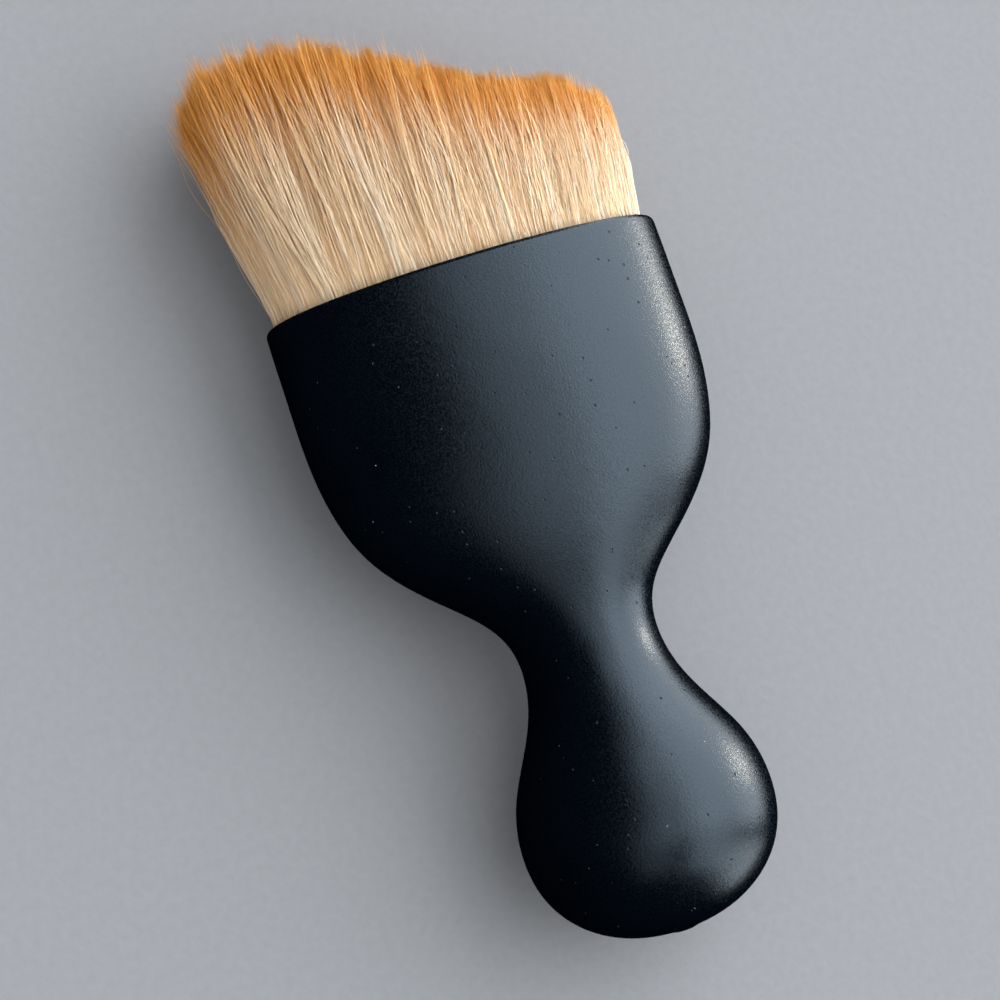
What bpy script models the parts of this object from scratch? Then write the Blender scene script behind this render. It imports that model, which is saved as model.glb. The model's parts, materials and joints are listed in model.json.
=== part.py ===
"""A short contoured neck duster brush: a one-piece moulded handle shaped like an hourglass, with a
wave-trimmed tuft of soft synthetic bristle potted into a hidden cup in its mouth.

The brush lies on its back. +X runs across its broad face, +Y along it from the bulb to the bristle
tips, and +Z out of the broad face. z = 0 is the surface that it lies on.

The dimensions below are millimetres. A station is a distance along the brush from the end of the
bulb. Every cross-section is an oval, given as its half width (along X) and half depth (along Z).
"""

import math

import bmesh
import bpy
import numpy as np

MM = 0.001
GAP = 0.3  # left between pieces that touch
SHARP_EDGE = math.radians(40)

# Handle, outside
HANDLE_LENGTH = 80.0
GATE_SCAR_RADIUS = 1.05
GATE_SCAR_HEIGHT = 0.15
BULB_STATION = 13.3  # where the bulb is widest
BULB_ROUNDNESS = 2.15  # superellipse power of the bulb's end, where 2 is a plain ellipse
HALF_WIDTHS = (
    (BULB_STATION, 15.1),
    (20.2, 13.6),
    (27.1, 9.9),
    (33.3, 8.3),
    (39.2, 10.0),
    (44.4, 15.2),
    (49.6, 20.0),
    (56.5, 23.15),
    (65.1, 24.25),
    (72.0, 24.25),
    (HANDLE_LENGTH, 24.15),
)
HALF_DEPTHS = (
    (BULB_STATION, 11.6),
    (22.0, 10.3),
    (33.3, 7.6),
    (44.5, 9.4),
    (55.0, 11.1),
    (65.0, 11.6),
    (HANDLE_LENGTH, 11.0),
)
LIP_WALL = 1.45
LIP_OUTER_RADIUS = 1.1
LIP_INNER_RADIUS = 0.3

# Handle, inside: a socket for the cup, a ledge under it, and a funnel cored out towards the neck
LEDGE_STATION = 62.0
SOCKET_DRAFT = (0.3, 0.15)  # how much narrower and shallower the socket is at the ledge
LEDGE_INNER = (19.8, 7.6)
FUNNEL = ((55.0, 19.0, 7.5), (49.5, 16.2, 6.9), (46.0, 13.2, 6.2), (42.5, 9.0, 5.2), (40.0, 5.0, 3.6))

# What fills the socket, from the ledge up
ADHESIVE_THICKNESS = 0.6
ADHESIVE_BAND = 1.6
CUP_CLEARANCE = 0.35
CUP_WALL = 0.8
CUP_FLOOR = 1.2
CUP_HEIGHT = 11.0
CUP_EDGE_RADIUS = 0.3
EPOXY_THICKNESS = 4.5
THREAD_DIAMETER = 0.6
THREAD_TURNS = 4

# Bristle tuft
TUFT_CLEARANCE = 0.3  # to the cup's wall and to the lip
TRIM_MEAN = 24.2  # free length above the lip, halfway down the wave
TRIM_WAVE = 7.7
TRIM_CREST_X = -18.5
TRIM_HALF_WAVE = 45.0
TRIM_CORNER = 1.5  # how much shorter the outermost bristles are
LONG_SIDE_FLARE = 0.13  # how far the outermost bristles lean outwards, as a slope
SHORT_SIDE_FLARE = 0.09
DEPTH_FLARE = 0.06

TRIM_STEPS = 8  # rounds of settling a leaning bristle's length against the trim at its tip
HANDLE_SIDES = 48
INNER_SIDES = 40
TUFT_SIDES = 44


def smooth_curve(points, start_slope=0.0, end_slope=0.0):
    """A cubic spline through (station, value) points, with the given slopes at its two ends."""
    x = np.array([point[0] for point in points])
    y = np.array([point[1] for point in points])
    step = np.diff(x)
    rise = np.diff(y) / step
    count = len(x)
    matrix = np.zeros((count, count))
    right = np.zeros(count)
    matrix[0, :2] = 2 * step[0], step[0]
    right[0] = 6 * (rise[0] - start_slope)
    matrix[-1, -2:] = step[-1], 2 * step[-1]
    right[-1] = 6 * (end_slope - rise[-1])
    for i in range(1, count - 1):
        matrix[i, i - 1 : i + 2] = step[i - 1], 2 * (step[i - 1] + step[i]), step[i]
        right[i] = 6 * (rise[i] - rise[i - 1])
    bend = np.linalg.solve(matrix, right)

    def value(station):
        i = int(np.clip(np.searchsorted(x, station) - 1, 0, count - 2))
        before = station - x[i]
        after = x[i + 1] - station
        line = (y[i] * after + y[i + 1] * before) / step[i]
        curve_before = bend[i] * (after**3 / step[i] - after * step[i])
        curve_after = bend[i + 1] * (before**3 / step[i] - before * step[i])
        return line + (curve_before + curve_after) / 6

    return value


half_width_at = smooth_curve(HALF_WIDTHS, end_slope=-0.03)
half_depth_at = smooth_curve(HALF_DEPTHS, end_slope=-0.05)


def oval(station, half_width, half_depth, sides):
    """A ring of points across the brush."""
    angles = [2 * math.pi * i / sides for i in range(sides)]
    return [(half_width * math.cos(a), station, half_depth * math.sin(a)) for a in angles]


def ovals(rows, sides):
    return [oval(station, half_width, half_depth, sides) for station, half_width, half_depth in rows]


def material(name, colour, roughness):
    made = bpy.data.materials.new(name)
    made.use_nodes = True
    shader = made.node_tree.nodes["Principled BSDF"]
    shader.inputs["Base Color"].default_value = (*colour, 1)
    shader.inputs["Roughness"].default_value = roughness
    shader.inputs["Metallic"].default_value = 0
    return made


def loft(name, rings, look, parent, as_band=False):
    """Skins a row of rings. Its ends are capped, or joined to each other when it is a band."""
    mesh = bmesh.new()
    rows = [[mesh.verts.new([c * MM for c in point]) for point in ring] for ring in rings]
    sides = len(rows[0])
    pairs = list(zip(rows, rows[1:]))
    if as_band:
        pairs.append((rows[-1], rows[0]))
    else:
        mesh.faces.new(rows[0])
        mesh.faces.new(rows[-1])
    for low, high in pairs:
        for i in range(sides):
            j = (i + 1) % sides
            mesh.faces.new((low[i], low[j], high[j], high[i]))
    bmesh.ops.recalc_face_normals(mesh, faces=mesh.faces)
    data = bpy.data.meshes.new(name)
    mesh.to_mesh(data)
    mesh.free()
    data.materials.append(look)
    data.shade_smooth()
    data.set_sharp_from_angle(angle=SHARP_EDGE)
    piece = bpy.data.objects.new(name, data)
    bpy.context.scene.collection.objects.link(piece)
    piece.parent = parent
    return piece


def gate_scar_rows():
    """The round nub left where the moulding's gate was cut, flat across its end."""
    radius = GATE_SCAR_RADIUS
    return [(0, radius, radius), (GATE_SCAR_HEIGHT + 0.02, radius + 0.1, radius + 0.1)]


def bulb_end_rows(steps=11):
    """The rounded end of the bulb, from beside the gate scar to its widest place."""
    power = 2 / BULB_ROUNDNESS
    length = BULB_STATION - GATE_SCAR_HEIGHT
    rows = []
    for i in range(1, steps + 1):
        turn = math.pi / 2 * i / steps
        station = BULB_STATION - length * math.cos(turn) ** power
        size = math.sin(turn) ** power
        rows.append((station, size * HALF_WIDTHS[0][1], size * HALF_DEPTHS[0][1]))
    return rows


def body_rows(steps=28):
    """From the widest place of the bulb, through the neck, to the start of the lip's round."""
    end = HANDLE_LENGTH - LIP_OUTER_RADIUS
    stations = np.linspace(BULB_STATION, end, steps + 1)[1:]
    return [(s, half_width_at(s), half_depth_at(s)) for s in stations]


def lip_rows(steps=4):
    """Over the lip: its large outer round, its narrow top and its small inner round."""
    half_width = half_width_at(HANDLE_LENGTH)
    half_depth = half_depth_at(HANDLE_LENGTH)
    rows = []
    for i in range(1, steps + 1):
        turn = math.pi / 2 * i / steps
        station = HANDLE_LENGTH - LIP_OUTER_RADIUS * (1 - math.sin(turn))
        inset = LIP_OUTER_RADIUS * (1 - math.cos(turn))
        rows.append((station, half_width - inset, half_depth - inset))
    for i in range(steps // 2 + 1):
        turn = math.pi * i / steps
        station = HANDLE_LENGTH - LIP_INNER_RADIUS * (1 - math.cos(turn))
        inset = LIP_WALL - LIP_INNER_RADIUS * (1 - math.sin(turn))
        rows.append((station, half_width - inset, half_depth - inset))
    return rows


def mouth_inner():
    """Half width and half depth of the opening inside the lip."""
    return half_width_at(HANDLE_LENGTH) - LIP_WALL, half_depth_at(HANDLE_LENGTH) - LIP_WALL


def socket_inner():
    """Half width and half depth of the socket at the ledge."""
    return tuple(size - draft for size, draft in zip(mouth_inner(), SOCKET_DRAFT))


def cup_outer():
    return tuple(size - CUP_CLEARANCE for size in socket_inner())


def cup_inner():
    return tuple(size - CUP_WALL for size in cup_outer())


def cup_foot_station():
    return LEDGE_STATION + GAP + ADHESIVE_THICKNESS + GAP


def cup_top_station():
    return cup_foot_station() + CUP_HEIGHT


def epoxy_foot_station():
    return cup_foot_station() + CUP_FLOOR + GAP


def tuft_foot_station():
    return epoxy_foot_station() + EPOXY_THICKNESS + GAP


def build_handle(parent):
    inside = [
        (LEDGE_STATION, *socket_inner()),
        (LEDGE_STATION, *LEDGE_INNER),
        *FUNNEL,
    ]
    rows = gate_scar_rows() + bulb_end_rows() + body_rows() + lip_rows() + inside
    look = material("soft_touch_black", (0.012, 0.014, 0.018), 0.42)
    return loft("handle", ovals(rows, HANDLE_SIDES), look, parent)


def build_seat_adhesive(parent):
    """The bead of adhesive between the ledge and the cup's foot."""
    low = LEDGE_STATION + GAP
    high = low + ADHESIVE_THICKNESS
    outer = cup_outer()
    inner = tuple(size - ADHESIVE_BAND for size in outer)
    rows = [(low, *outer), (high, *outer), (high, *inner), (low, *inner)]
    look = material("clear_adhesive", (0.72, 0.63, 0.42), 0.3)
    return loft("seat_adhesive", ovals(rows, INNER_SIDES), look, parent, as_band=True)


def build_tuft_cup(parent):
    """The thin oval cup that holds the bristle roots."""
    foot = cup_foot_station()
    top = cup_top_station()
    radius = CUP_EDGE_RADIUS
    outer = cup_outer()
    inner = cup_inner()
    foot_inset = tuple(size - radius for size in outer)
    top_inset = tuple(size + radius for size in inner)
    rows = [
        (foot, *foot_inset),
        (foot + radius, *outer),
        (top, *outer),
        (top, *top_inset),
        (top - radius, *inner),
        (foot + CUP_FLOOR, *inner),
    ]
    look = material("cup_plastic", (0.78, 0.76, 0.70), 0.5)
    return loft("tuft_cup", ovals(rows, INNER_SIDES), look, parent)


def build_root_epoxy(parent):
    """The cast plug that locks the bristle roots in the cup."""
    foot = epoxy_foot_station()
    top = foot + EPOXY_THICKNESS
    size = tuple(inner - TUFT_CLEARANCE for inner in cup_inner())
    rows = [(foot, *size), (top, *size)]
    look = material("cast_epoxy", (0.60, 0.42, 0.17), 0.25)
    return loft("root_epoxy", ovals(rows, INNER_SIDES), look, parent)


def binding_inner():
    return tuple(size - CUP_CLEARANCE - THREAD_DIAMETER for size in cup_inner())


def build_root_binding(parent):
    """Turns of thread that tie the roots into an oval bundle, laid side by side."""
    radius = THREAD_DIAMETER / 2
    inner = binding_inner()
    foot = tuft_foot_station() + GAP
    steps = 4
    rows = []
    for turn in range(THREAD_TURNS):
        middle = foot + radius + turn * THREAD_DIAMETER
        for i in range(steps):
            angle = math.pi * i / steps
            out = radius * (1 + math.sin(angle) * 0.98)
            station = middle - radius * math.cos(angle)
            rows.append((station, inner[0] + out, inner[1] + out))
    top = foot + THREAD_TURNS * THREAD_DIAMETER
    rows.append((top, inner[0] + radius, inner[1] + radius))
    rows.append((top, *inner))
    rows.append((foot, *inner))
    look = material("cotton_thread", (0.80, 0.77, 0.70), 0.85)
    return loft("root_binding", ovals(rows, INNER_SIDES), look, parent, as_band=True)


def free_length(tip_x, spread):
    """Bristle length above the lip: a wave across the brush. Spread is 0 mid-tuft and 1 at its edge."""
    wave = math.cos(math.pi * (tip_x - TRIM_CREST_X) / TRIM_HALF_WAVE)
    return TRIM_MEAN + TRIM_WAVE * wave - TRIM_CORNER * spread**6


def tuft_root_rows():
    """The tied roots inside the cup, up to the lip."""
    foot = tuft_foot_station()
    tied = tuple(size - GAP for size in binding_inner())
    loose = tuple(size - TUFT_CLEARANCE for size in cup_inner())
    binding_top = foot + GAP + THREAD_TURNS * THREAD_DIAMETER + GAP
    return [
        (foot, *tied),
        (binding_top, *tied),
        (binding_top + 0.8, *loose),
        (cup_top_station() + GAP, *loose),
    ]


def tuft_tip(angle, share, spread):
    """A point on a bristle, at a share of its free length, that starts at this spread and angle."""
    half_width, half_depth = (size - TUFT_CLEARANCE for size in mouth_inner())
    across = spread * math.cos(angle)
    through = spread * math.sin(angle)
    flare = LONG_SIDE_FLARE if across < 0 else SHORT_SIDE_FLARE
    length = TRIM_MEAN
    for _ in range(TRIM_STEPS):
        length = free_length(across * (half_width + flare * length), spread)
    run = share * length
    reach_x = half_width + flare * run
    reach_z = half_depth + DEPTH_FLARE * run
    return (across * reach_x, HANDLE_LENGTH + run, through * reach_z)


def build_bristle_tuft(parent):
    """The whole tuft as one solid, from the tied roots to the trimmed tips."""
    angles = [2 * math.pi * i / TUFT_SIDES for i in range(TUFT_SIDES)]
    rings = ovals(tuft_root_rows(), TUFT_SIDES)
    for share in (0, 0.25, 0.5, 0.75, 1):
        rings.append([tuft_tip(angle, share, 1) for angle in angles])
    for spread in (0.93, 0.82, 0.62, 0.4, 0.18):
        rings.append([tuft_tip(angle, 1, spread) for angle in angles])
    look = material("dyed_bristle", (0.78, 0.58, 0.33), 0.55)
    return loft("bristle_tuft", rings, look, parent)


def lay_on_floor(root, pieces):
    """Moves the brush so that it lies on z = 0, centred over the origin."""
    bpy.context.view_layer.update()
    corners = np.array([piece.matrix_world @ v.co for piece in pieces for v in piece.data.vertices])
    low = corners.min(axis=0)
    high = corners.max(axis=0)
    middle = (low + high) / 2
    root.location = (-middle[0], -middle[1], -low[2])


def main():
    for old in list(bpy.data.objects):
        bpy.data.objects.remove(old, do_unlink=True)
    root = bpy.data.objects.new("brush_axis", None)
    bpy.context.scene.collection.objects.link(root)
    builders = (
        build_handle,
        build_seat_adhesive,
        build_tuft_cup,
        build_root_epoxy,
        build_root_binding,
        build_bristle_tuft,
    )
    pieces = [build(root) for build in builders]
    lay_on_floor(root, pieces)


main()
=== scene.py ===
"""Looks of the neck duster brush: a soft-touch black handle and a tuft of fine dyed bristle.

The brush lies on its back on the floor, z = 0. Dimensions below are millimetres. A station is a
distance along the brush from the end of its bulb, and every cross-section of it is an oval, given
as its half width (along X) and half depth (along Z).
"""

import json
import math

import bpy
import numpy as np
from mathutils import Matrix, Vector, kdtree, noise


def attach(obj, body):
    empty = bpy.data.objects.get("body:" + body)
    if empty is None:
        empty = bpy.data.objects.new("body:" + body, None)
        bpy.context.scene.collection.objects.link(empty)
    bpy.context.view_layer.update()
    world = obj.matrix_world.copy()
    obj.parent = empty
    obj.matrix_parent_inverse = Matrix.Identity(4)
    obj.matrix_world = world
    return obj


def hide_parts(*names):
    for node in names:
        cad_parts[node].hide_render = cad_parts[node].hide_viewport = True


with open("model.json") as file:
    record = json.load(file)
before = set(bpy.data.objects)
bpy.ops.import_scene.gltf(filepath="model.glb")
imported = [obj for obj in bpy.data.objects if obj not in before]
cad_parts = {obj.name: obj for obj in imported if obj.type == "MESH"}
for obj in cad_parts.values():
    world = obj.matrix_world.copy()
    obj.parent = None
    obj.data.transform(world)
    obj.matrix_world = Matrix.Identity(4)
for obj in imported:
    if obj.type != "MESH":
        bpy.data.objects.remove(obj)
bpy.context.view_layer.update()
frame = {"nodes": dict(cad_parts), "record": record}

MM = 0.001
rng = np.random.default_rng(20)

# The handle's outside, as the CAD model has it
HANDLE_LENGTH = 80.0
GATE_SCAR_RADIUS = 1.05
GATE_SCAR_HEIGHT = 0.15
BULB_STATION = 13.3
BULB_ROUNDNESS = 2.15
HALF_WIDTHS = (
    (BULB_STATION, 15.1),
    (20.2, 13.6),
    (27.1, 9.9),
    (33.3, 8.3),
    (39.2, 10.0),
    (44.4, 15.2),
    (49.6, 20.0),
    (56.5, 23.15),
    (65.1, 24.25),
    (72.0, 24.25),
    (HANDLE_LENGTH, 24.15),
)
HALF_DEPTHS = (
    (BULB_STATION, 11.6),
    (22.0, 10.3),
    (33.3, 7.6),
    (44.5, 9.4),
    (55.0, 11.1),
    (65.0, 11.6),
    (HANDLE_LENGTH, 11.0),
)
LIP_WALL = 1.45
LIP_BEVEL = 0.34  # along the lip's outer edge on the broad faces
LIP_BEVEL_TILT = math.radians(30)
LIP_EDGE_RADIUS = 0.12
LIP_CORNER_RADIUS = 0.8  # at the two ends of the oval, which are rounded instead
LIP_CORNER_POWER = 12  # how narrowly that stays at the ends
LIP_INNER_RADIUS = 0.3
SOCKET = ((72.0, 22.55, 9.5), (62.0, 22.4, 9.4), (61.95, 19.8, 7.6))
FUNNEL = ((55.0, 19.0, 7.5), (49.5, 16.2, 6.9), (46.0, 13.2, 6.2), (42.5, 9.0, 5.2), (40.0, 5.0, 3.6))
HANDLE_SIDES = 240
BULB_FIRST_TURN = 0.12  # where the bulb's skin meets the gate scar, in radians from its end
BULB_ROWS = 64
BODY_ROWS = 230
WAVINESS = 0.02  # how far the moulding's skin strays from a true curve
WAVINESS_LENGTH = 6.0
SHARP_ANGLE = math.radians(50)

# Bristle tuft
TUFT_CLEARANCE = 0.3
TRIM = (  # free length above the lip, across the brush at the tips
    (-25.5, 26.2),
    (-23.0, 29.3),
    (-20.0, 31.0),
    (-15.0, 30.9),
    (-8.2, 29.4),
    (-2.0, 26.5),
    (3.2, 23.6),
    (11.0, 20.4),
    (17.0, 18.6),
    (22.5, 16.0),
)
TRIM_MEAN = 24.6  # where the search for a bristle's length starts
TRIM_CROWN = 1.4  # how much shorter the bristles are at the front and back
LONG_SIDE_FLARE = 0.10
SHORT_SIDE_FLARE = 0.05
DEPTH_FLARE = 0.045
TUFT_BULGE = 0.4  # how far the sides bow out, halfway to the tips
CORE_DEPTH = 3.0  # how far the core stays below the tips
CORE_WIDTH = 0.93  # of the tuft
CORE_THICKNESS = 0.90
CORE_SIDES = 360
CORE_GROOVE = 0.02

# Camera
VIEW_DISTANCE = 280.0
AIM_ACROSS = -4.335
AIM_STATION = 53.361
TILT_ACROSS = math.radians(-12.372)
TILT_ALONG = math.radians(-5.230)
ROLL = math.radians(18.835)
LENS = 87.1
SENSOR = 36.0

# Studio
FLOOR_HALF_SIZE = 4000.0
LIGHTS_AIM_STATION = 56.0
SKY_STRENGTH = (0.60, 1.0)  # of the world's light, from the -X side to the +X side
DAYLIGHT = (0.97, 0.985, 1.0)
LAMPLIGHT = (1.0, 0.80, 0.60)
# Soft boxes: name, azimuth and elevation in degrees, distance and (height, width) in metres,
# radiance and colour
SOFTBOXES = (
    ("window", -2, 48, 2.4, (1.56, 5.7), 2.2, DAYLIGHT),
    ("window_right", 22, 46, 2.37, (1.5, 3.3), 1.2, DAYLIGHT),
    ("window_low", 15, 8, 2.4, (1.92, 3.8), 3.6, DAYLIGHT),
    ("window_left", -46, 2, 2.4, (1.8, 1.2), 2.6, DAYLIGHT),
    ("overhead", 10, 79, 1.1, (0.36, 1.0), 1.5, DAYLIGHT),
    ("front", -100, 64, 1.1, (0.4, 0.8), 0.6, DAYLIGHT),
    ("back", 68, 58, 1.1, (0.4, 0.5), 0.6, DAYLIGHT),
    ("strip", 6, 2, 2.4, (0.15, 0.42), 46.0, LAMPLIGHT),
)

gate = next(m for m in frame["record"]["mounts"] if m["name"] == "bulb_end_flat")["pos_m"]
AXIS_ORIGIN = np.array(gate)


def to_world(points):
    """Turns (across, station, through) in millimetres about the brush's axis into metres."""
    return AXIS_ORIGIN + np.asarray(points, float) * MM


def smoothstep(value, low=0.0, high=1.0):
    t = np.clip((value - low) / (high - low), 0, 1)
    return t * t * (3 - 2 * t)


# ---------------------------------------------------------------- camera, floor and light


def view_direction():
    """From the aim point to the camera."""
    return Vector(
        (
            math.sin(TILT_ACROSS) * math.cos(TILT_ALONG),
            math.sin(TILT_ALONG),
            math.cos(TILT_ACROSS) * math.cos(TILT_ALONG),
        )
    )


def make_camera():
    back = view_direction()
    right = (-back).cross(Vector((0, 1, 0))).normalized()
    up = back.cross(right)
    across = right * math.cos(ROLL) - up * math.sin(ROLL)
    upward = right * math.sin(ROLL) + up * math.cos(ROLL)
    data = bpy.data.cameras.new("camera")
    data.lens = LENS
    data.sensor_width = SENSOR
    camera = bpy.data.objects.new("camera", data)
    aim = Vector(to_world((AIM_ACROSS, AIM_STATION, 0)))
    turn = Matrix((across, upward, back)).transposed()
    camera.matrix_world = Matrix.Translation(aim + back * VIEW_DISTANCE * MM) @ turn.to_4x4()
    bpy.context.scene.collection.objects.link(camera)
    bpy.context.scene.camera = camera


def softbox(name, azimuth, elevation, distance, size, radiance, colour):
    """An area light that faces the brush. Azimuth, in degrees, runs from +X towards +Y."""
    heading, rise = math.radians(azimuth), math.radians(elevation)
    level = math.cos(rise)
    toward = Vector((math.cos(heading) * level, math.sin(heading) * level, math.sin(rise)))
    data = bpy.data.lights.new(name, "AREA")
    data.shape = "RECTANGLE"
    data.size, data.size_y = size
    data.energy = radiance * math.pi * data.size * data.size_y
    data.color = colour
    light = bpy.data.objects.new(name, data)
    aim = Vector(to_world((0, LIGHTS_AIM_STATION, 0)))
    down = Vector((0, 1, 0)).cross(toward).normalized()
    turn = Matrix((down, toward.cross(down), toward)).transposed()
    light.matrix_world = Matrix.Translation(aim + toward * distance) @ turn.to_4x4()
    light.visible_camera = False
    bpy.context.scene.collection.objects.link(light)


def make_sky():
    """Even light from all round, which brightens towards +X and isn't seen in reflections."""
    world = bpy.data.worlds.new("studio")
    world.use_nodes = True
    nodes, links = world.node_tree.nodes, world.node_tree.links
    split = nodes.new("ShaderNodeSeparateXYZ")
    links.new(nodes.new("ShaderNodeTexCoord").outputs["Generated"], split.inputs["Vector"])
    strength = nodes.new("ShaderNodeMapRange")
    for socket, number in zip(("From Min", "From Max", "To Min", "To Max"), (-1, 1, *SKY_STRENGTH)):
        strength.inputs[socket].default_value = number
    links.new(split.outputs["X"], strength.inputs["Value"])
    background = nodes["Background"]
    background.inputs["Color"].default_value = (*DAYLIGHT, 1)
    links.new(strength.outputs["Result"], background.inputs["Strength"])
    world.cycles_visibility.glossy = False
    bpy.context.scene.world = world


def make_lights():
    for box in SOFTBOXES:
        softbox(*box)
    make_sky()
    bpy.context.scene.view_settings.view_transform = "Standard"


def make_floor():
    size = FLOOR_HALF_SIZE * MM
    data = bpy.data.meshes.new("studio_floor")
    corners = [(-size, -size, 0), (size, -size, 0), (size, size, 0), (-size, size, 0)]
    data.from_pydata(corners, [], [(0, 1, 2, 3)])
    floor = bpy.data.objects.new("studio_floor", data)
    bpy.context.scene.collection.objects.link(floor)
    look = Look("floor_paper")
    grain = look.noise(900, detail=4)
    paper = look.ramp(grain, ((0.3, (0.225, 0.232, 0.246)), (0.7, (0.24, 0.247, 0.262))))
    look.set("Base Color", paper)
    look.value("Roughness", 0.85)
    look.bump(((grain, 0.00003),))
    data.materials.append(look.material)
    floor.visible_glossy = False


# ---------------------------------------------------------------- materials

UV_LAYER = "OFBake"

# Colours of the bristle, from pale filaments to deep ones
CREAM = (
    (0.0, (0.95, 0.82, 0.64)),
    (0.22, (0.92, 0.72, 0.47)),
    (0.48, (0.88, 0.64, 0.39)),
    (1.0, (0.74, 0.43, 0.21)),
)
DYE = ((0.0, (0.83, 0.42, 0.11)), (0.45, (0.78, 0.325, 0.044)), (1.0, (0.69, 0.24, 0.024)))
DYE_FADE = (0.28, 0.72)  # where along V the dye turns into cream


class Look:
    """A procedural material being put together round one Principled shader."""

    def __init__(self, name):
        self.material = bpy.data.materials.new(name)
        self.material.use_nodes = True
        self.nodes = self.material.node_tree.nodes
        self.links = self.material.node_tree.links
        self.shader = self.nodes["Principled BSDF"]
        self.place = self.nodes.new("ShaderNodeTexCoord").outputs["Object"]

    def value(self, socket, number):
        self.shader.inputs[socket].default_value = number

    def set(self, socket, source):
        self.links.new(source, self.shader.inputs[socket])

    def stretched(self, scale):
        mapping = self.nodes.new("ShaderNodeMapping")
        mapping.inputs["Scale"].default_value = scale
        self.links.new(self.place, mapping.inputs["Vector"])
        return mapping.outputs["Vector"]

    def uv(self):
        node = self.nodes.new("ShaderNodeUVMap")
        node.uv_map = UV_LAYER
        split = self.nodes.new("ShaderNodeSeparateXYZ")
        self.links.new(node.outputs["UV"], split.inputs["Vector"])
        return split.outputs["X"], split.outputs["Y"]

    def noise(self, scale, detail=2.0, roughness=0.5, stretch=(1, 1, 1)):
        node = self.nodes.new("ShaderNodeTexNoise")
        node.inputs["Scale"].default_value = scale
        node.inputs["Detail"].default_value = detail
        node.inputs["Roughness"].default_value = roughness
        self.links.new(self.stretched(stretch), node.inputs["Vector"])
        return node.outputs["Fac"]

    def cells(self, scale):
        """Distance to the nearest of scattered points, and a random number for each point."""
        node = self.nodes.new("ShaderNodeTexVoronoi")
        node.inputs["Scale"].default_value = scale
        self.links.new(self.place, node.inputs["Vector"])
        split = self.nodes.new("ShaderNodeSeparateColor")
        self.links.new(node.outputs["Color"], split.inputs["Color"])
        return node.outputs["Distance"], split.outputs["Red"]

    def fade(self, source, low, high, to_low=0.0, to_high=1.0):
        node = self.nodes.new("ShaderNodeMapRange")
        node.interpolation_type = "SMOOTHSTEP"
        ends = {"From Min": low, "From Max": high, "To Min": to_low, "To Max": to_high}
        for socket, number in ends.items():
            node.inputs[socket].default_value = number
        self.links.new(source, node.inputs["Value"])
        return node.outputs["Result"]

    def math(self, operation, first, second):
        node = self.nodes.new("ShaderNodeMath")
        node.operation = operation
        for socket, term in zip(node.inputs, (first, second)):
            if isinstance(term, (int, float)):
                socket.default_value = term
            else:
                self.links.new(term, socket)
        return node.outputs["Value"]

    def ramp(self, source, stops):
        node = self.nodes.new("ShaderNodeValToRGB")
        elements = node.color_ramp.elements
        while len(elements) < len(stops):
            elements.new(0.5)
        for element, (place, colour) in zip(elements, stops):
            element.position = place
            element.color = (*colour, 1)
        self.links.new(source, node.inputs["Fac"])
        return node.outputs["Color"]

    def mix(self, amount, first, second):
        node = self.nodes.new("ShaderNodeMix")
        node.data_type = "RGBA"
        self.links.new(amount, node.inputs["Factor"])
        for name, colour in (("A", first), ("B", second)):
            socket = next(s for s in node.inputs if s.name == name and s.type == "RGBA")
            if isinstance(colour, tuple):
                socket.default_value = (*colour, 1)
            else:
                self.links.new(colour, socket)
        return next(s for s in node.outputs if s.type == "RGBA")

    def bump(self, layers):
        """Chains bumps, each a height from 0 to 1 and the distance in metres that 1 stands for."""
        normal = None
        for height, distance in layers:
            node = self.nodes.new("ShaderNodeBump")
            node.inputs["Distance"].default_value = distance
            self.links.new(height, node.inputs["Height"])
            if normal:
                self.links.new(normal, node.inputs["Normal"])
            normal = node.outputs["Normal"]
        self.links.new(normal, self.shader.inputs["Normal"])


def spots(look, scale, radius, share):
    """Round spots of a radius in metres, on a share of the cells of a scatter."""
    distance, chance = look.cells(scale)
    edge = radius * scale
    inside = look.fade(distance, edge * 0.55, edge, 1.0, 0.0)
    chosen = look.math("LESS_THAN", chance, share)
    return look.math("MULTIPLY", inside, chosen)


def craters(look, scale, radius, share):
    """Low rings, as a burst bubble leaves in paint."""
    distance, chance = look.cells(scale)
    edge = radius * scale
    rise = look.fade(distance, edge * 0.3, edge * 0.75)
    fall = look.fade(distance, edge * 0.75, edge * 1.2, 1.0, 0.0)
    chosen = look.math("LESS_THAN", chance, share)
    return look.math("MULTIPLY", look.math("MULTIPLY", rise, fall), chosen)


def soft_touch_black():
    """Soft-touch paint: orange peel, pin holes, burst bubbles and a little dust."""
    look = Look("soft_touch_black")
    peel = look.noise(4600, detail=2.5, roughness=0.65, stretch=(1, 0.8, 1))
    swell = look.noise(420, detail=1)
    pits = spots(look, 640, 0.00018, 0.5)
    rings = craters(look, 190, 0.00034, 0.16)
    dust = spots(look, 520, 0.00008, 0.07)
    patches = look.noise(75, detail=3)
    paint = look.ramp(patches, ((0.3, (0.0004, 0.0012, 0.0026)), (0.7, (0.0008, 0.0020, 0.0040))))
    pitted = look.mix(pits, paint, (0.0006, 0.0006, 0.0007))
    look.set("Base Color", look.mix(dust, pitted, (0.42, 0.42, 0.40)))
    grain = look.noise(4200, detail=2, roughness=0.6)
    rough = look.fade(grain, 0.36, 0.64, 0.12, 0.33)
    rough = look.math("ADD", rough, look.math("MULTIPLY", look.math("ADD", dust, pits), 0.3))
    look.set("Roughness", rough)
    look.value("Specular IOR Level", 0.68)
    # Painted reflection colour: the blue specular tint stands for cool daylight seen in the paint's sheen
    look.value("Specular Tint", (0.65, 0.83, 1.0, 1))
    depth = look.math("SUBTRACT", 1.0, pits)
    look.bump(((swell, 0.000015), (peel, 0.000036), (depth, 0.00014), (rings, 0.00005)))
    return look.material


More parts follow.
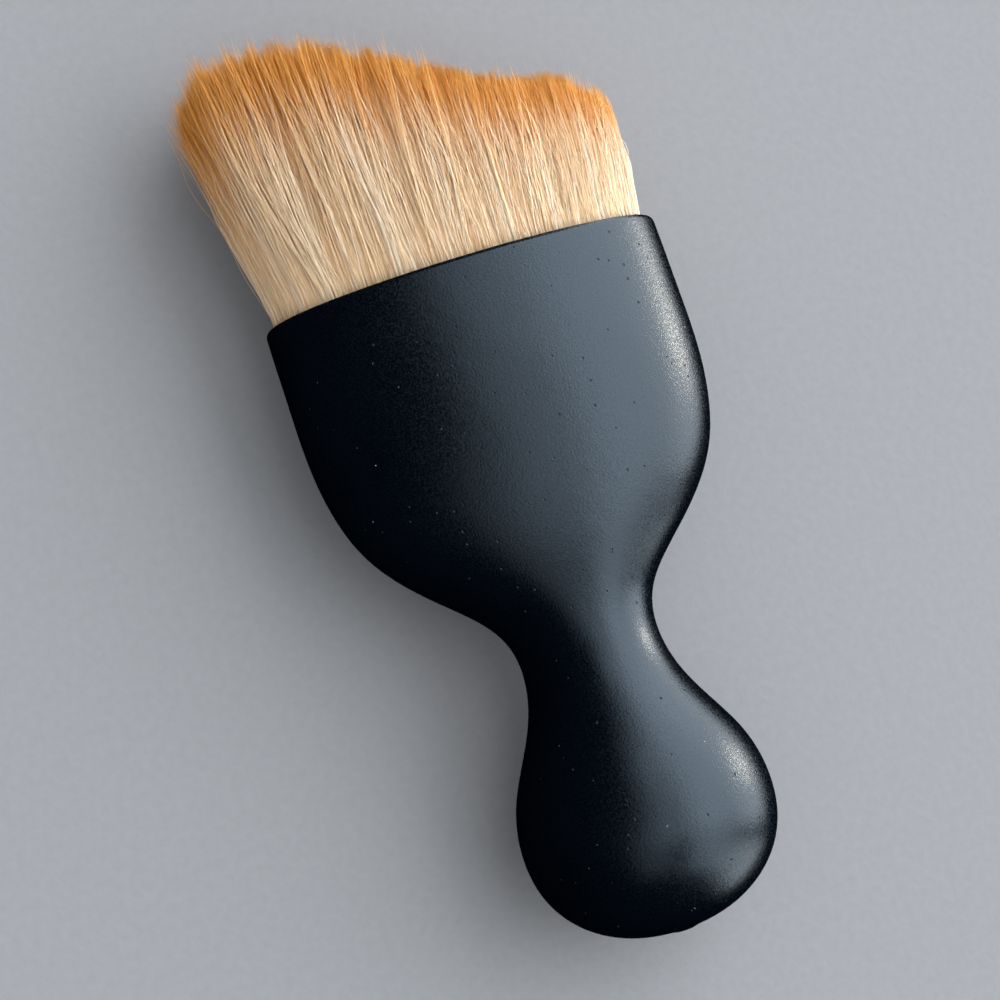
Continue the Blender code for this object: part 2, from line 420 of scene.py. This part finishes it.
def dyed_bristle():
    """Cream filament with dyed tips. U runs from pale to deep filaments, and V from tip to root."""
    look = Look("dyed_bristle")
    shade, root = look.uv()
    cream = look.ramp(shade, CREAM)
    dye = look.ramp(shade, DYE)
    look.set("Base Color", look.mix(look.fade(root, *DYE_FADE), dye, cream))
    look.value("Roughness", 0.42)
    look.value("Specular IOR Level", 0.45)
    return look.material


def shaded_core_look():
    """The packed bristle behind the outer filaments, in bristle colours darkened as painted shade of the
    tuft's depths. V runs from tip to root.
    """
    look = Look("packed_bristle_shaded")
    _, root = look.uv()
    streaks = look.noise(5200, detail=2, stretch=(1, 0.03, 1))
    locks = look.noise(900, detail=2, stretch=(1, 0.06, 1))
    tone = look.math("ADD", look.math("MULTIPLY", streaks, 0.6), look.math("MULTIPLY", locks, 0.4))
    # Painted shade: both ramps are darker than the filaments' own cream and dye, for the shade deep
    # inside the tuft
    cream = look.ramp(tone, ((0.35, (0.50, 0.29, 0.13)), (0.65, (0.80, 0.58, 0.36))))
    dye = look.ramp(tone, ((0.35, (0.46, 0.15, 0.014)), (0.65, (0.72, 0.28, 0.04))))
    look.set("Base Color", look.mix(look.fade(root, *DYE_FADE), dye, cream))
    look.value("Roughness", 0.6)
    look.bump(((streaks, 0.0001),))
    return look.material


def cup_plastic():
    look = Look("cup_plastic")
    flow = look.noise(260, detail=3)
    look.set("Base Color", look.ramp(flow, ((0.3, (0.74, 0.72, 0.66)), (0.7, (0.80, 0.78, 0.72)))))
    look.set("Roughness", look.fade(flow, 0.3, 0.7, 0.42, 0.55))
    look.bump(((look.noise(2600, detail=2), 0.000015),))
    return look.material


def cast_epoxy():
    look = Look("cast_epoxy")
    cloud = look.noise(340, detail=4)
    bubbles = spots(look, 900, 0.0003, 0.4)
    amber = look.ramp(cloud, ((0.3, (0.50, 0.32, 0.11)), (0.7, (0.66, 0.47, 0.20))))
    look.set("Base Color", look.mix(bubbles, amber, (0.78, 0.62, 0.36)))
    look.set("Roughness", look.fade(cloud, 0.3, 0.7, 0.18, 0.32))
    look.bump(((bubbles, 0.00005),))
    return look.material


def clear_adhesive():
    look = Look("clear_adhesive")
    cloud = look.noise(700, detail=3)
    look.set("Base Color", look.ramp(cloud, ((0.3, (0.66, 0.57, 0.36)), (0.7, (0.78, 0.70, 0.49)))))
    look.set("Roughness", look.fade(cloud, 0.3, 0.7, 0.22, 0.4))
    look.bump(((look.noise(500, detail=2), 0.00008),))
    return look.material


def cotton_thread():
    look = Look("cotton_thread")
    fibre = look.noise(4200, detail=3, stretch=(0.25, 1, 0.25))
    look.set("Base Color", look.ramp(fibre, ((0.3, (0.68, 0.64, 0.56)), (0.7, (0.86, 0.83, 0.77)))))
    look.value("Roughness", 0.85)
    look.value("Sheen Weight", 0.3)
    look.bump(((fibre, 0.00006),))
    return look.material


# ---------------------------------------------------------------- handle


def smooth_curve(points, start_slope=0.0, end_slope=0.0):
    """A cubic spline through (station, value) points, with the given slopes at its two ends."""
    x, y = (np.array(column) for column in zip(*points))
    step = np.diff(x)
    rise = np.diff(y) / step
    count = len(x)
    matrix = np.zeros((count, count))
    right = np.zeros(count)
    matrix[0, :2] = 2 * step[0], step[0]
    right[0] = 6 * (rise[0] - start_slope)
    matrix[-1, -2:] = step[-1], 2 * step[-1]
    right[-1] = 6 * (end_slope - rise[-1])
    for i in range(1, count - 1):
        matrix[i, i - 1 : i + 2] = step[i - 1], 2 * (step[i - 1] + step[i]), step[i]
        right[i] = 6 * (rise[i] - rise[i - 1])
    bend = np.linalg.solve(matrix, right)

    def value(station):
        i = np.clip(np.searchsorted(x, station) - 1, 0, count - 2)
        before = station - x[i]
        after = x[i + 1] - station
        line = (y[i] * after + y[i + 1] * before) / step[i]
        curve_before = bend[i] * (after**3 / step[i] - after * step[i])
        curve_after = bend[i + 1] * (before**3 / step[i] - before * step[i])
        return line + (curve_before + curve_after) / 6

    return value


half_width_at = smooth_curve(HALF_WIDTHS, end_slope=-0.03)
half_depth_at = smooth_curve(HALF_DEPTHS, end_slope=-0.05)
LIP_HALF_WIDTH = float(half_width_at(HANDLE_LENGTH))
LIP_HALF_DEPTH = float(half_depth_at(HANDLE_LENGTH))


def oval(turns, station, half_width, half_depth):
    """A ring of points across the brush. Each size is one number, or one for each turn."""
    ring = np.empty((len(turns), 3))
    ring[:, 0] = half_width * np.cos(turns)
    ring[:, 1] = station
    ring[:, 2] = half_depth * np.sin(turns)
    return ring


def gate_scar_rows():
    rows = [(0, GATE_SCAR_RADIUS * share) for share in (0.02, 0.35, 0.7, 0.9)]
    rows += [(0.02, GATE_SCAR_RADIUS), (0.09, GATE_SCAR_RADIUS + 0.22), (0.16, GATE_SCAR_RADIUS + 0.6)]
    return [(station, radius, radius * 0.92) for station, radius in rows]


def body_rows():
    """(station, half width, half depth) from the round end of the bulb to just under the lip."""
    power = 2 / BULB_ROUNDNESS
    length = BULB_STATION - GATE_SCAR_HEIGHT
    rows = []
    for turn in np.linspace(BULB_FIRST_TURN, math.pi / 2, BULB_ROWS):
        size = math.sin(turn) ** power
        station = BULB_STATION - length * math.cos(turn) ** power
        rows.append((station, size * HALF_WIDTHS[0][1], size * HALF_DEPTHS[0][1]))
    for station in np.linspace(BULB_STATION, HANDLE_LENGTH - LIP_CORNER_RADIUS, BODY_ROWS)[1:]:
        rows.append((station, half_width_at(station), half_depth_at(station)))
    return rows


def lip_edge(corner):
    """(drop, inset) round the lip's outer edge, which is a bevel at corner 0 and a round at corner 1."""
    bevel_drop = LIP_BEVEL * math.cos(LIP_BEVEL_TILT)
    bevel_inset = LIP_BEVEL * math.sin(LIP_BEVEL_TILT)
    before = [(tilt, bevel_drop, 0) for tilt in np.linspace(0, LIP_BEVEL_TILT, 5)]
    after = [(tilt, 0, bevel_inset) for tilt in np.linspace(LIP_BEVEL_TILT, math.pi / 2, 9)]
    radius = LIP_EDGE_RADIUS + (LIP_CORNER_RADIUS - LIP_EDGE_RADIUS) * corner
    for tilt, extra_drop, extra_inset in before + after:
        drop = radius * (1 - math.sin(tilt)) + extra_drop * (1 - corner)
        inset = radius * (1 - math.cos(tilt)) + extra_inset * (1 - corner)
        yield drop, inset


def lip_rings(turns):
    """Over the lip and into its mouth."""
    rings = []
    for drop, inset in lip_edge(np.abs(np.cos(turns)) ** LIP_CORNER_POWER):
        rings.append(oval(turns, HANDLE_LENGTH - drop, LIP_HALF_WIDTH - inset, LIP_HALF_DEPTH - inset))
    for bend in np.linspace(0, math.pi / 2, 6):
        inset = LIP_WALL - LIP_INNER_RADIUS * (1 - math.sin(bend))
        station = HANDLE_LENGTH - LIP_INNER_RADIUS * (1 - math.cos(bend))
        rings.append(oval(turns, station, LIP_HALF_WIDTH - inset, LIP_HALF_DEPTH - inset))
    return rings


def grid_mesh(name, points, sides, look):
    """A closed skin over rings of points, with a cap over its first and last ring."""
    rings = len(points) // sides
    index = np.arange(rings * sides).reshape(rings, sides)
    low, high = index[:-1], index[1:]
    quads = np.stack([low, high, np.roll(high, -1, 1), np.roll(low, -1, 1)], axis=-1).reshape(-1, 4)
    faces = quads.tolist() + [index[0].tolist(), index[-1][::-1].tolist()]
    data = bpy.data.meshes.new(name)
    data.from_pydata(points.tolist(), [], faces)
    data.materials.append(look)
    data.shade_smooth()
    piece = bpy.data.objects.new(name, data)
    bpy.context.scene.collection.objects.link(piece)
    return piece


def waviness(points):
    """How far the skin stands off its true curve. It is none at the gate scar and inside the lip."""
    sway = np.array([noise.noise(Vector(point) / WAVINESS_LENGTH) for point in points]) * WAVINESS
    clear_of_scar = smoothstep(points[:, 1], 1.0, 5.0)
    clear_of_lip = smoothstep(HANDLE_LENGTH - points[:, 1], 0.0, 3.0)
    return sway * clear_of_scar * clear_of_lip


def make_handle():
    turns = np.linspace(0, 2 * math.pi, HANDLE_SIDES, endpoint=False)
    skin = [oval(turns, *row) for row in gate_scar_rows() + body_rows()]
    inside = [oval(turns, *row) for row in SOCKET + FUNNEL]
    outside = np.concatenate(skin)
    outward = outside / np.maximum(np.abs(outside).max(axis=1, keepdims=True), 1) * (1, 0, 1)
    outward /= np.linalg.norm(outward, axis=1, keepdims=True)
    outside += outward * waviness(outside)[:, None]
    points = np.concatenate([outside] + lip_rings(turns) + inside)
    piece = grid_mesh("moulded_handle", to_world(points), HANDLE_SIDES, soft_touch_black())
    piece.data.set_sharp_from_angle(angle=SHARP_ANGLE)
    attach(piece, "root")
    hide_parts("handle")


# ---------------------------------------------------------------- bristle

MOUTH_HALF_WIDTH = LIP_HALF_WIDTH - LIP_WALL - TUFT_CLEARANCE
MOUTH_HALF_DEPTH = LIP_HALF_DEPTH - LIP_WALL - TUFT_CLEARANCE
SHADE_COLUMNS = 64  # tiles across the UV square, one for each shade
FULL_STEPS = np.array([-0.09, 0.13, 0.28, 0.42, 0.55, 0.67, 0.79, 0.9, 1.0])
SHORT_STEPS = np.array([0.55, 0.75, 0.89, 1.0])
STRAY_STEPS = np.concatenate([[-0.09], np.linspace(0.06, 1.0, 16)])

STRAND_SIDES = 3
STRAND_RADIUS = (0.018, 0.034)
TAPER = 0.6  # how much thinner a filament is at its tip
TAPER_START = 0.35
TAPER_POWER = 1.5
FLOOR_CLEARANCE = 0.1
TILE_COLUMNS = np.array([0.2, 0.4, 0.6, 0.8])  # of a filament's corners, across its shade's tile
V_MARGIN = 0.01
ROOT_CAP_DROP = 0.02  # along V, so that the cap over a filament's root has some area in UV

# How single filaments are cut: the usual error in mm, then the share that is longer or shorter, and
# by how much
CUT_ERROR = 0.28
LONGER = (0.006, 0.4, 1.3)
SHORTER = (0.12, 0.5, 4.0)
DYE_DEPTH = 7.5  # down to where the dye has half gone, in mm
DYE_TURN = 2.3  # how much deeper that is on the long side, and less deep on the short side
DYE_SPREAD = 0.30
SPLAY = 0.3  # how far the filaments at the end of the long side stand out, in mm

# Shades run from 0, pale, to 1, deep
STRAY_SHADE_LIMIT = 0.3
SHADE_MEAN = 0.50
SHADE_SPREAD = 0.14
LOCK_SHADE_SPREAD = 0.08
PAINTED_SHADE_TURN = 0.12  # how much paler the short side is, and deeper the long side: painted shade for light falling from +X

# How a filament wanders: waves along it, sway across and through in mm, and slant for its length
CALM = ((0.5, 1.5), (0.11, 0.09), 0.012)
UNRULY = ((1.0, 3.0), (0.17, 0.08), 0.055)
SWAY_LIMIT = 2.5  # times the usual sway

# Across the brush from -1 to 1
RIMS = (0.8, 0.97)  # where its two narrow sides begin and are complete
RIM_CALM = 0.6  # how much of the shared waves is lost there
RIM_STEADINESS = 0.7  # how much of the slant is lost there
RAGGED_LEAST = 0.5  # how frayed the short side is
RAGGED_GAIN = 1.3  # how much more frayed the long side is

trim_at = smooth_curve(TRIM, start_slope=1.4, end_slope=-0.2)


def flare_of(across):
    return np.where(across < 0, LONG_SIDE_FLARE, SHORT_SIDE_FLARE)


def trimmed_length(across, through):
    """Free length of a bristle whose tip, once it leans outwards, meets the trim."""
    length = np.full(len(across), TRIM_MEAN)
    for _ in range(8):
        tip_x = across * (MOUTH_HALF_WIDTH + flare_of(across) * length)
        length = trim_at(np.clip(tip_x, TRIM[0][0], TRIM[-1][0])) - TRIM_CROWN * through**4
    return length


def tuft_path(across, through, length, run):
    """Points at a run above the lip, for bristles that start at a share of the mouth's half sizes."""
    bow = TUFT_BULGE * np.sin(np.pi * np.clip(run / length, 0, 1))
    reach_x = MOUTH_HALF_WIDTH + flare_of(across) * np.maximum(run, 0) + bow
    reach_z = MOUTH_HALF_DEPTH + DEPTH_FLARE * np.maximum(run, 0) + bow
    return np.stack([across * reach_x, HANDLE_LENGTH + run, through * reach_z], axis=-1)


def nearest(points, centres):
    """For each point, the index of its nearest centre and how far off it is."""
    tree = kdtree.KDTree(len(centres))
    for i, centre in enumerate(centres):
        tree.insert((centre[0], centre[1], 0), i)
    tree.balance()
    found = [tree.find((point[0], point[1], 0)) for point in points]
    return np.array([f[1] for f in found]), np.array([f[2] for f in found])


def toward_tip(share):
    return share**2


def at_tip(share):
    return share**4


# Waves that the filaments share: width, length, and sway across and through, all in mm
FLOWS = ((11.0, 30.0, 0.20, 0.03), (4.3, 17.0, 0.08, 0.03), (1.9, 9.0, 0.035, 0.02))

# Locks: spacing in mm, strength, where along the bristle they gather, how unevenly they are cut,
# and how pointed they are
LOCKS = (
    (2.6, 0.14, toward_tip, 0.10, 0.1),
    (1.3, 0.45, at_tip, 0.30, 0.4),
    (0.7, 0.65, at_tip, 0.45, 1.4),
)

# Clefts that run through the tips: wavelength across and height in mm, and phase
CLEFTS = ((3.1, 0.30, 0.4), (1.9, 0.26, 2.1), (1.2, 0.18, 5.0))
CLEFT_SLANT = 0.2


class Bristles:
    """A batch of filaments, as paths of points in millimetres about the brush's axis."""

    def __init__(self, spread, steps, wander):
        count = len(spread)
        turn = rng.uniform(0, 2 * np.pi, count)
        self.across = spread * np.cos(turn)
        self.through = spread * np.sin(turn)
        self.length = trimmed_length(self.across, self.through)
        self.steps = steps
        self.wander = wander
        if wander is UNRULY:
            self.shade = rng.uniform(0, STRAY_SHADE_LIMIT, count)
        else:
            self.shade = rng.normal(SHADE_MEAN, SHADE_SPREAD, count)
        # Painted shade: filaments on the long side, -X, are drawn deeper and those on the short side
        # paler, as light from +X falls on them
        self.shade -= PAINTED_SHADE_TURN * self.across

    def gather(self):
        """Leans the filaments into pointed locks, which are cut to slightly different lengths."""
        tips = tuft_path(self.across, self.through, self.length, self.length)[:, ::2]
        count = len(tips)
        self.pull = np.zeros((count, len(self.steps), 3))
        self.end_length = self.length.copy()
        for wavelength, height, phase in CLEFTS:
            place = (tips[:, 0] + CLEFT_SLANT * tips[:, 1]) / wavelength
            self.end_length += height * self.raggedness() * np.sin(2 * np.pi * place + phase)
        for spacing, strength, profile, length_spread, pointedness in LOCKS:
            area = np.pi * MOUTH_HALF_WIDTH * MOUTH_HALF_DEPTH
            number = min(count, int(area / spacing**2))
            chosen = rng.choice(count, number, replace=False)
            mine, away = nearest(tips, tips[chosen])
            offset = rng.normal(0, 1, number)[mine] * spacing * length_spread
            self.end_length += offset * self.raggedness() - away * pointedness
            self.shade += rng.normal(0, LOCK_SHADE_SPREAD, number)[mine]
            toward = tips[chosen][mine] - tips
            amount = strength * rng.uniform(0.5, 1.0, count)[:, None] * profile(np.clip(self.steps, 0, 1))
            self.pull[:, :, 0] += toward[:, 0, None] * amount
            self.pull[:, :, 2] += toward[:, 1, None] * amount

    def raggedness(self):
        """The long side of the trim frays more than the short side."""
        return RAGGED_LEAST + RAGGED_GAIN * smoothstep(-self.across)

    def at_rims(self):
        """0 over the middle of the brush and 1 at its two narrow sides."""
        return smoothstep(np.abs(self.across), *RIMS)

    def cut(self):
        """The free length of each filament, as the shears leave it."""
        count = len(self.across)
        end = self.end_length + rng.normal(0, CUT_ERROR, count) * self.raggedness()
        for (chance, least, most), sign in ((LONGER, 1), (SHORTER, -1)):
            end += sign * np.where(rng.random(count) < chance, rng.uniform(least, most, count), 0)
        return end

    def flow(self, points, run):
        """Adds the waves that neighbouring filaments share."""
        start = self.across * MOUTH_HALF_WIDTH
        for width, length, sideways, outwards in FLOWS:
            phase = rng.uniform(0, 2 * np.pi) + 2 * np.sign(self.through) + 2 * np.pi * start / width
            wave = np.sin(phase[:, None] + 2 * np.pi * run / length) - np.sin(phase)[:, None]
            points[:, :, 0] += sideways * wave * (1 - RIM_CALM * self.at_rims())[:, None]
            points[:, :, 2] += outwards * wave

    def stray(self, points, end, share):
        """Adds each filament's own waves and slant."""
        count = len(self.across)
        waves, sways, slant = self.wander
        for axis, size in zip((0, 2), sways):
            swing = size * rng.exponential(1, count).clip(0, SWAY_LIMIT)
            rate = rng.uniform(*waves, count)
            phase = 2 * np.pi * rng.uniform(0, 1, count)
            sway = np.sin(2 * np.pi * rate[:, None] * share + phase[:, None]) - np.sin(phase)[:, None]
            lean = rng.normal(0, 1, count) * slant * end * (1 - RIM_STEADINESS * self.at_rims())
            points[:, :, axis] += swing[:, None] * sway * np.minimum(share * 2, 1)
            points[:, :, axis] += lean[:, None] * share

    def paths(self):
        end = self.cut()
        along = np.ones_like(self.steps)
        run = end[:, None] * self.steps
        across, through, length = (each[:, None] * along for each in (self.across, self.through, end))
        points = tuft_path(across, through, length, run) + self.pull
        share = np.clip(self.steps, 0, 1)
        self.flow(points, run)
        self.stray(points, end, share)
        splay = self.raggedness() * smoothstep(-self.across, 0.55, 1.0) * rng.exponential(SPLAY, len(end))
        points[:, :, 0] -= splay[:, None] * share**3
        return points


def strand_vertices(points, radius):
    """Three corners round every point of each filament but its last, then the last as its tip."""
    count, rings, _ = points.shape
    along = np.gradient(points, axis=1)
    along /= np.linalg.norm(along, axis=-1, keepdims=True)
    side = np.cross(along, (0.0, 0.0, 1.0))
    side /= np.linalg.norm(side, axis=-1, keepdims=True)
    other = np.cross(along, side)
    share = np.linspace(0, 1, rings)
    taper = 1 - TAPER * np.clip((share - TAPER_START) / (1 - TAPER_START), 0, 1) ** TAPER_POWER
    turn = rng.uniform(0, 2 * np.pi, count)
    corners = []
    for k in range(STRAND_SIDES):
        angle = turn[:, None] + 2 * np.pi * k / STRAND_SIDES
        out = side * np.cos(angle)[..., None] + other * np.sin(angle)[..., None]
        corners.append(points + out * (radius[:, None] * taper)[..., None])
    body = np.stack(corners, axis=2)[:, :-1]
    vertices = np.concatenate([body.reshape(count, -1, 3), points[:, -1:]], axis=1).reshape(-1, 3)
    vertices[:, 2] = np.maximum(vertices[:, 2], FLOOR_CLEARANCE - AXIS_ORIGIN[2] / MM)
    return vertices


def strand_faces(rings):
    """One filament's faces: their sizes, then the vertex, UV column and ring of each corner."""
    k = np.arange(STRAND_SIDES)
    after = (k + 1) % STRAND_SIDES
    low = np.arange(rings - 2)[:, None]
    here, above = low * STRAND_SIDES, (low + 1) * STRAND_SIDES
    quads = np.stack([here + k, here + after, above + after, above + k], axis=-1)
    last = (rings - 2) * STRAND_SIDES
    tips = np.stack([last + k, last + after, np.full(STRAND_SIDES, last + STRAND_SIDES)], axis=-1)
    corners = np.concatenate([quads.ravel(), tips.ravel(), k[::-1]])
    sizes = np.concatenate([np.full(quads.size // 4, 4), np.full(STRAND_SIDES + 1, 3)])
    quad_columns = np.tile(np.stack([k, k + 1, k + 1, k], axis=-1), (rings - 2, 1, 1))
    quad_rings = np.repeat(np.stack([low, low, low + 1, low + 1], axis=-1), STRAND_SIDES, axis=1)
    columns = np.concatenate([quad_columns.ravel(), np.stack([k, k + 1, k], axis=-1).ravel(), [0, 1, 3]])
    tip_rings = np.tile([rings - 2, rings - 2, rings - 1], STRAND_SIDES)
    return sizes, corners, columns, np.concatenate([quad_rings.ravel(), tip_rings, [0, 0, 0]])


def strand_uvs(points, shade, dye_depth, columns, rows):
    """U stays inside the tile of a filament's shade, and V tells how far from its tip a corner is."""
    gone = np.linalg.norm(np.diff(points, axis=1), axis=-1)
    to_tip = np.cumsum(gone[:, ::-1], axis=1)[:, ::-1]
    height = dye_height(np.pad(to_tip, ((0, 0), (0, 1))), dye_depth[:, None])
    tile = np.clip(np.floor(shade * SHADE_COLUMNS), 0, SHADE_COLUMNS - 1)
    u = (tile[:, None] + TILE_COLUMNS[columns]) / SHADE_COLUMNS
    v = V_MARGIN + (1 - 2 * V_MARGIN) * height[:, rows]
    v[:, -1] -= ROOT_CAP_DROP
    return np.stack([u, v], axis=-1)


def strand_mesh(name, points, radius, shade, dye_depth, look):
    """Three-sided tapering filaments, each with a pointed tip, and a colour that its UVs pick."""
    count, rings, _ = points.shape
    vertices = strand_vertices(points, radius)
    sizes, corners, columns, rows = strand_faces(rings)
    first_vertex = np.arange(count)[:, None] * (len(vertices) // count)
    first_corner = np.arange(count)[:, None] * len(corners)
    starts = np.concatenate([[0], np.cumsum(sizes)[:-1]])

    data = bpy.data.meshes.new(name)
    data.vertices.add(len(vertices))
    data.vertices.foreach_set("co", to_world(vertices).astype(np.float32).ravel())
    data.loops.add(count * len(corners))
    data.loops.foreach_set("vertex_index", (corners + first_vertex).astype(np.int32).ravel())
    data.polygons.add(count * len(sizes))
    data.polygons.foreach_set("loop_start", (starts + first_corner).astype(np.int32).ravel())
    data.polygons.foreach_set("loop_total", np.tile(sizes, count).astype(np.int32))
    set_uvs(data, strand_uvs(points, shade, dye_depth, columns, rows))
    data.update(calc_edges=True)
    data.validate()
    data.shade_smooth()
    data.materials.append(look)
    piece = bpy.data.objects.new(name, data)
    bpy.context.scene.collection.objects.link(piece)
    place_in_tuft(piece)


def set_uvs(data, uvs):
    layer = data.uv_layers.new(name=UV_LAYER)
    layer.data.foreach_set("uv", uvs.astype(np.float32).ravel())


def place_in_tuft(piece):
    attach(piece, "root")
    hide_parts("bristle_tuft")


def dye_height(from_tip, dye_depth):
    """V for a distance from the tip: 0 at the tip, half at the dye's depth, and near 1 at the root."""
    return 1 - 0.5 ** (from_tip / dye_depth)


def dye_depth_at(across, clump):
    """The dye reaches further down on the long side of the trim."""
    return (DYE_DEPTH - DYE_TURN * across) * np.exp(clump)


def make_bristles():
    look = dyed_bristle()
    batches = (  # name, filaments, spread, steps, extra radius, wander and parts
        ("outer_bristle", 42000, (0.88, 1.0), FULL_STEPS, 0.0, CALM, 10),
        ("stray_bristle", 4500, (0.97, 1.015), STRAY_STEPS, 0.004, UNRULY, 3),
        ("inner_bristle", 22000, (0.0, 0.9), SHORT_STEPS, 0.010, CALM, 2),
    )
    for name, count, (inner, outer), steps, extra_radius, wander, parts in batches:
        spread = np.sqrt(rng.uniform(inner**2, outer**2, count))
        batch = Bristles(spread, steps, wander)
        batch.gather()
        points = batch.paths()
        radius = rng.uniform(*STRAND_RADIUS, count) + extra_radius
        dye = dye_depth_at(batch.across, rng.normal(0, DYE_SPREAD, count))
        for part in range(parts):
            mine = slice(part, None, parts)
            numbers = (radius[mine], batch.shade[mine], dye[mine])
            strand_mesh(f"{name}_{part + 1}", points[mine], *numbers, look)


def make_tuft_core():
    """Backs the filaments, so that no light shines through the tuft."""
    turns = np.linspace(0, 2 * np.pi, CORE_SIDES, endpoint=False)
    grooves = 1 - rng.uniform(0, CORE_GROOVE, CORE_SIDES)
    stacks = [(grooves, share) for share in (-0.12, 0.1, 0.35, 0.6, 0.75, 0.88, 1.0)]
    stacks += [(np.full(CORE_SIDES, spread), 1.0) for spread in (0.9, 0.75, 0.55, 0.3, 0.05)]
    rings = []
    heights = []
    for spread, share in stacks:
        across = CORE_WIDTH * spread * np.cos(turns)
        through = CORE_THICKNESS * spread * np.sin(turns)
        length = trimmed_length(across, through) - CORE_DEPTH
        rings.append(tuft_path(across, through, length, share * length))
        heights.append(dye_height(CORE_DEPTH * 0.5 + (1 - share) * length, dye_depth_at(across, 0)))
    piece = grid_mesh("tuft_core", to_world(np.concatenate(rings)), CORE_SIDES, shaded_core_look())
    corners = np.empty(len(piece.data.loops), np.int32)
    piece.data.loops.foreach_get("vertex_index", corners)
    height = np.concatenate(heights)[corners]
    set_uvs(piece.data, np.stack([np.full_like(height, 0.5), height], axis=-1))
    place_in_tuft(piece)


def dress_hidden_pieces():
    looks = {
        "seat_adhesive": clear_adhesive,
        "tuft_cup": cup_plastic,
        "root_epoxy": cast_epoxy,
        "root_binding": cotton_thread,
    }
    for node, look in looks.items():
        piece = frame["nodes"][node]
        piece.data.materials.clear()
        piece.data.materials.append(look())


make_camera()
make_lights()
make_floor()
make_handle()
make_tuft_core()
make_bristles()
dress_hidden_pieces()
